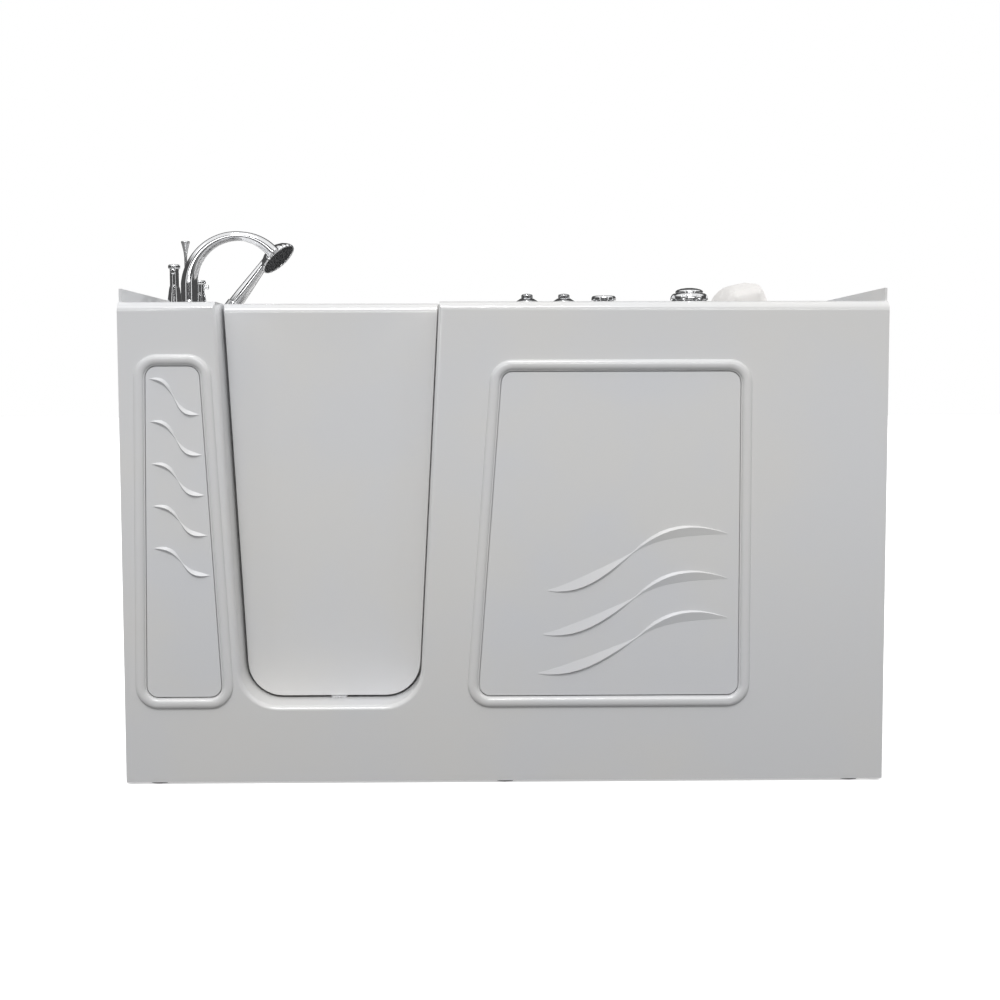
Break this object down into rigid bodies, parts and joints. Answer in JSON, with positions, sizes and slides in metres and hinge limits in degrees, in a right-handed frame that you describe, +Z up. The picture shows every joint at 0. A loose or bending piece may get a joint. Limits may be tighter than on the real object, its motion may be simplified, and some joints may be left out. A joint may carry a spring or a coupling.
{
  "type": "walk-in bathtub",
  "caption": "Walk-in jetted bathtub: seated basin with an inward-swinging door, access panels, deck taps, hand shower, jets, pump and steel frame.",
  "frame": {"origin": "centre of the bounding box, on the floor", "axes": "+X along the tub towards the seat, -Y out of the apron, +Z up"},
  "size_m": [1.524, 0.762, 1.1411],
  "materials": {
    "moulding": "gloss white",
    "panel": "gloss white",
    "chrome": "polished",
    "zinc_steel": "galvanised",
    "dark_plastic": "moulded",
    "light_plastic": "moulded",
    "pipe_plastic": "extruded",
    "board": "sheet",
    "motor_paint": "satin",
    "brass": "raw casting",
    "aluminium": "extruded",
    "rubber": "matt",
    "pillow_cover": "soft coated cover"
  },
  "bodies": {
    "tub": {"basin_shell": "moulding", "front_apron": "moulding", "sill_bumper": "chrome", "panel_sockets": "dark_plastic", "base_frame": "zinc_steel", "upper_frame": "zinc_steel", "floor_bearers": "zinc_steel", "seat_frame": "zinc_steel", "leveling_feet": "dark_plastic", "foot_lock_nuts": "zinc_steel", "equipment_board": "board", "pump_motor": "motor_paint", "pump_wet_end": "dark_plastic", "air_blower": "dark_plastic", "control_box": "light_plastic", "suction_fitting": "pipe_plastic", "suction_cover": "chrome", "pump_pipes": "pipe_plastic", "water_manifold": "pipe_plastic", "air_pipes": "pipe_plastic", "air_line": "rubber", "jet_bodies": "chrome", "air_jets": "chrome", "tub_spout": "chrome", "valve_bases": "chrome", "tap_valve_body": "brass", "shower_cradle": "chrome", "control_bezels": "chrome", "deck_valve_bodies": "dark_plastic", "neck_pillow": "pillow_cover", "grab_bar": "chrome", "hinge_fixed_leaves": "chrome", "latch_keeper": "chrome", "drain_body": "chrome", "overflow_fitting": "chrome"},
    "door": {"door_outer_skin": "moulding", "door_inner_skin": "moulding", "door_core": "aluminium", "door_seal": "rubber", "hinge_moving_leaves": "chrome"},
    "latch": {"latch_handle": "chrome"},
    "left_panel": {"left_access_panel": "panel"},
    "right_panel": {"right_access_panel": "panel"},
    "hot_tap": {"hot_handle": "chrome"},
    "cold_tap": {"cold_handle": "chrome"},
    "shower_selector": {"lift_rod": "chrome"},
    "handset": {"hand_shower": "chrome", "spray_face": "dark_plastic"},
    "left_air_control": {"air_knob_left": "chrome"},
    "right_air_control": {"air_knob_right": "chrome"},
    "jet_switch": {"push_button": "chrome"},
    "jet_diverter": {"diverter_knob": "chrome"},
    "overflow_control": {"overflow_knob": "chrome"},
    "plug": {"drain_plug": "chrome"},
    "nozzle_1": {"jet_nozzle_1": "chrome"},
    "nozzle_2": {"jet_nozzle_2": "chrome"},
    "nozzle_3": {"jet_nozzle_3": "chrome"},
    "nozzle_4": {"jet_nozzle_4": "chrome"},
    "nozzle_5": {"jet_nozzle_5": "chrome"},
    "nozzle_6": {"jet_nozzle_6": "chrome"}
  },
  "joints": [
    {"name": "door_swing", "type": "hinge", "parent": "tub", "child": "door", "pos_m": [-0.604, -0.24, 0.5], "axis": [0, 0, 1], "range_deg": [0, 80]},
    {"name": "latch_turn", "type": "hinge", "parent": "door", "child": "latch", "pos_m": [-0.16021, -0.236, 0.72], "axis": [0, 1, 0], "range_deg": [-90, 0]},
    {"name": "left_panel_pull", "type": "slide", "parent": "tub", "child": "left_panel", "axis": [0, -1, 0], "range_m": [0, 0.12]},
    {"name": "right_panel_pull", "type": "slide", "parent": "tub", "child": "right_panel", "axis": [0, -1, 0], "range_m": [0, 0.12]},
    {"name": "hot_tap_turn", "type": "hinge", "parent": "tub", "child": "hot_tap", "pos_m": [-0.701, -0.098, 1], "axis": [0, 0, 1], "range_deg": [0, 90]},
    {"name": "cold_tap_turn", "type": "hinge", "parent": "tub", "child": "cold_tap", "pos_m": [-0.701, 0.215, 1], "axis": [0, 0, 1], "range_deg": [0, 90]},
    {"name": "shower_selector_lift", "type": "slide", "parent": "tub", "child": "shower_selector", "axis": [0, 0, 1], "range_m": [0, 0.015]},
    {"name": "handset_lift", "type": "slide", "parent": "tub", "child": "handset", "axis": [0.6018, 0, 0.7986], "range_m": [0, 0.2]},
    {"name": "left_air_turn", "type": "hinge", "parent": "tub", "child": "left_air_control", "pos_m": [0.046, -0.3185, 0.97], "axis": [0, 0, 1], "range_deg": [0, 180]},
    {"name": "right_air_turn", "type": "hinge", "parent": "tub", "child": "right_air_control", "pos_m": [0.12, -0.3185, 0.97], "axis": [0, 0, 1], "range_deg": [0, 180]},
    {"name": "jet_switch_press", "type": "slide", "parent": "tub", "child": "jet_switch", "axis": [0, 0, -1], "range_m": [0, 0.003], "stiffness_N_per_m": 1000, "springref_m": -0.002},
    {"name": "jet_diverter_turn", "type": "hinge", "parent": "tub", "child": "jet_diverter", "pos_m": [0.372, -0.3185, 0.97], "axis": [0, 0, 1], "range_deg": [0, 180]},
    {"name": "overflow_turn", "type": "hinge", "parent": "tub", "child": "overflow_control", "pos_m": [-0.616, 0.028, 0.85], "axis": [1, 0, 0], "range_deg": [0, 90]},
    {"name": "plug_lift", "type": "slide", "parent": "tub", "child": "plug", "axis": [0, 0, 1], "range_m": [0, 0.0101]},
    {"name": "nozzle_1_turn", "type": "hinge", "parent": "tub", "child": "nozzle_1", "pos_m": [-0.42, 0.318, 0.33], "axis": [0, 1, 0], "range_deg": [0, 180]},
    {"name": "nozzle_2_turn", "type": "hinge", "parent": "tub", "child": "nozzle_2", "pos_m": [-0.18, 0.318, 0.33], "axis": [0, 1, 0], "range_deg": [0, 180]},
    {"name": "nozzle_3_turn", "type": "hinge", "parent": "tub", "child": "nozzle_3", "pos_m": [0.25, 0.318, 0.64], "axis": [0, 1, 0], "range_deg": [0, 180]},
    {"name": "nozzle_4_turn", "type": "hinge", "parent": "tub", "child": "nozzle_4", "pos_m": [0.42, 0.318, 0.64], "axis": [0, 1, 0], "range_deg": [0, 180]},
    {"name": "nozzle_5_turn", "type": "hinge", "parent": "tub", "child": "nozzle_5", "pos_m": [0.08, -0.19, 0.33], "axis": [1, 0, 0], "range_deg": [0, 180]},
    {"name": "nozzle_6_turn", "type": "hinge", "parent": "tub", "child": "nozzle_6", "pos_m": [0.08, 0.13, 0.33], "axis": [1, 0, 0], "range_deg": [0, 180]}
  ],
  "couplings": [
    {"joint": "plug_lift", "follows": "overflow_turn", "m_per_rad": 0.0063662}
  ]
}
